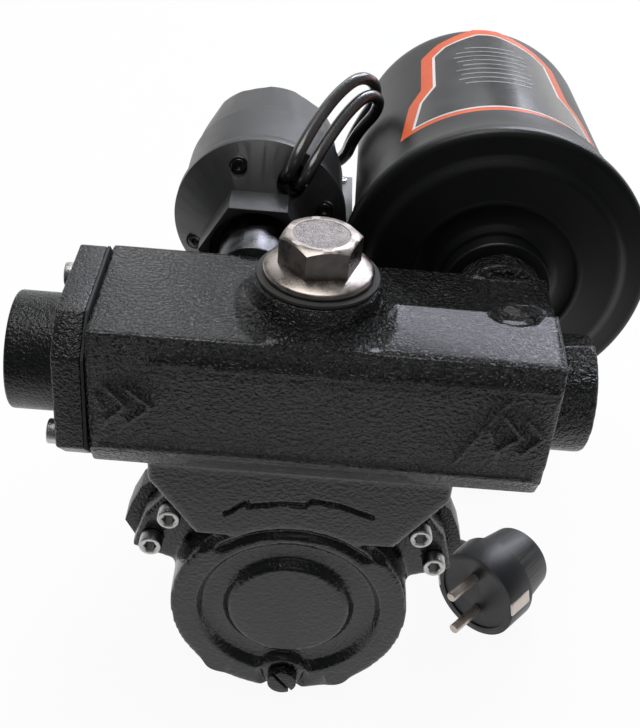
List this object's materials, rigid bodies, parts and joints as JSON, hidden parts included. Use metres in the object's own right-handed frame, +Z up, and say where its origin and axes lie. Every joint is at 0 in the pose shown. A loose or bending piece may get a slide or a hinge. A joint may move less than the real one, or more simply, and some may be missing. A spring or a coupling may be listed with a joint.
{
  "type": "booster pump",
  "caption": "Self-priming booster pump with a long cast valve chamber, threaded ports, a pressure tank, a pressure switch, a finned motor on a foot, and a mains lead.",
  "frame": {"origin": "centre of the foot's bolt pattern, on the ground under the motor", "axes": "+X towards the discharge port, +Y from the pump head towards the motor's rear, +Z up"},
  "size_m": [0.2697, 0.2748, 0.2585],
  "materials": {
    "black_casting": "gloss black paint on rough cast iron",
    "zinc_plated": "zinc plated",
    "stainless": "bright stainless",
    "black_rubber": "black rubber",
    "grey_fibre": "dark gasket fibre",
    "brass_part": "machined brass",
    "valve_plastic": "pale valve plastic",
    "ceramic": "pale seal ceramic",
    "black_aluminium": "black painted aluminium",
    "core_steel": "stacked electrical steel",
    "copper_winding": "varnished copper",
    "ground_steel": "ground steel",
    "black_plastic": "black plastic",
    "black_sheet": "satin black paint on sheet steel",
    "grey_plastic": "dark grey plastic",
    "switch_plastic": "dark grey plastic",
    "nickel": "nickel plated",
    "pale_case": "pale plastic case"
  },
  "bodies": {
    "pump": {"pump_body": "black_casting", "suction_flange": "black_casting", "suction_gasket": "grey_fibre", "flange_screws": "zinc_plated", "check_valve_cage": "valve_plastic", "check_valve_spring": "ground_steel", "filler_washer": "grey_fibre", "casing_screws": "zinc_plated", "casing_seal": "black_rubber", "seal_seat": "ceramic", "bearing_outer_rings": "ground_steel", "motor_bracket": "black_casting", "motor_housing": "black_aluminium", "stator_core": "core_steel", "stator_windings": "copper_winding", "rear_end_shield": "black_aluminium", "fan_cover": "black_plastic", "fan_cover_screws": "zinc_plated", "tie_bolts": "zinc_plated", "foot_plate": "black_sheet", "foot_screws": "zinc_plated", "terminal_box": "grey_plastic", "terminal_lid": "grey_plastic", "lid_screws": "zinc_plated", "run_capacitor": "pale_case", "mains_gland": "black_plastic", "lead_gland": "black_rubber", "tank_nozzle": "zinc_plated", "tank_front_cover": "black_sheet", "tank_shell": "black_sheet", "tank_membrane": "black_rubber", "air_valve": "black_plastic", "switch_nipple": "nickel", "union_nut": "switch_plastic", "switch_base": "switch_plastic", "switch_cap": "switch_plastic", "switch_screws": "zinc_plated", "switch_diaphragm": "black_rubber", "switch_spring": "ground_steel", "contact_block": "pale_case", "switch_lead_a": "black_rubber", "switch_lead_b": "black_rubber", "mains_cord_upper": "black_rubber", "mains_cord_coil": "black_rubber", "mains_cord_lower": "black_rubber", "coil_tie": "black_plastic", "mains_plug": "black_plastic", "plug_contacts": "nickel", "plug_strain_relief": "black_rubber"},
    "check_valve": {"check_valve_poppet": "valve_plastic"},
    "filler_plug": {"filler_plug": "stainless"},
    "drain_plug": {"drain_plug": "black_casting"},
    "rotor": {"shaft": "ground_steel", "impeller": "brass_part", "impeller_nut": "brass_part", "seal_head": "black_rubber", "rotor_core": "core_steel", "cooling_fan": "black_plastic", "bearing_inner_rings": "ground_steel"},
    "switch_plunger": {"switch_plunger": "brass_part"}
  },
  "joints": [
    {"name": "rotor_spin", "type": "hinge", "parent": "pump", "child": "rotor", "pos_m": [0, 0, 0.06], "axis": [0, 1, 0], "continuous": true},
    {"name": "check_valve_lift", "type": "slide", "parent": "pump", "child": "check_valve", "axis": [1, 0, 0], "range_m": [0, 0.006], "stiffness_N_per_m": 150, "springref_m": -0.004, "deforming": ["check_valve_spring"]},
    {"name": "switch_plunger_travel", "type": "slide", "parent": "pump", "child": "switch_plunger", "axis": [0, 1, 0], "range_m": [0, 0.0015], "stiffness_N_per_m": 3000, "springref_m": -0.001, "deforming": ["switch_spring"]},
    {"name": "filler_plug_lift", "type": "slide", "parent": "pump", "child": "filler_plug", "axis": [0, 0, 1], "range_m": [0, 0.02]},
    {"name": "drain_plug_pull", "type": "slide", "parent": "pump", "child": "drain_plug", "axis": [0, -1, 0], "range_m": [0, 0.014]}
  ]
}
